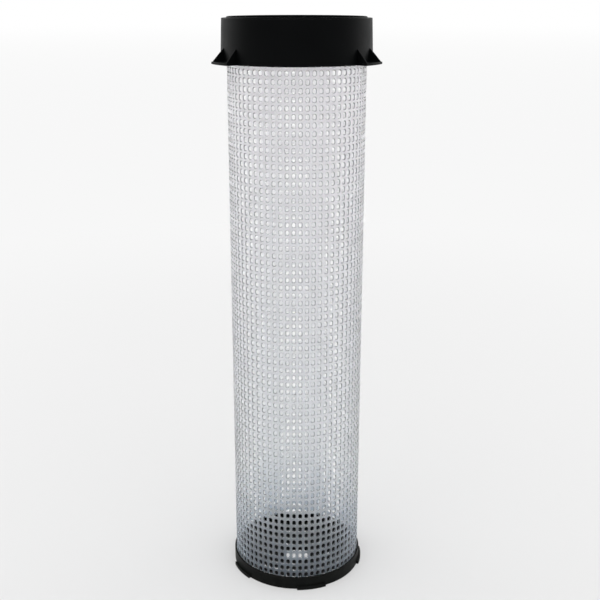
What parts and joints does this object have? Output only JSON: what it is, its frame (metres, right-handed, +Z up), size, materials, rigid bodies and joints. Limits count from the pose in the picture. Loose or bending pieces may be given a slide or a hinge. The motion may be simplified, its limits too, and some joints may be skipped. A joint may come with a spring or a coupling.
{
  "type": "bag filter restrainer basket",
  "caption": "Tall round plastic mesh basket with a black winged collar and a black foot cap, which hangs in a filter housing and holds a filter bag.",
  "frame": {"origin": "on the basket's axis, at the underside of the bottom cap", "axes": "+Z up along the basket's axis to its open mouth, -Y the pictured front, +X to the right of it"},
  "size_m": [0.2094, 0.2063, 0.762],
  "materials": {
    "black_plastic": "satin moulded black polypropylene",
    "natural_plastic": "translucent natural polypropylene, smooth"
  },
  "bodies": {
    "root": {"collar": "black_plastic", "mesh_tube": "natural_plastic", "bottom_cap": "black_plastic"}
  },
  "joints": []
}
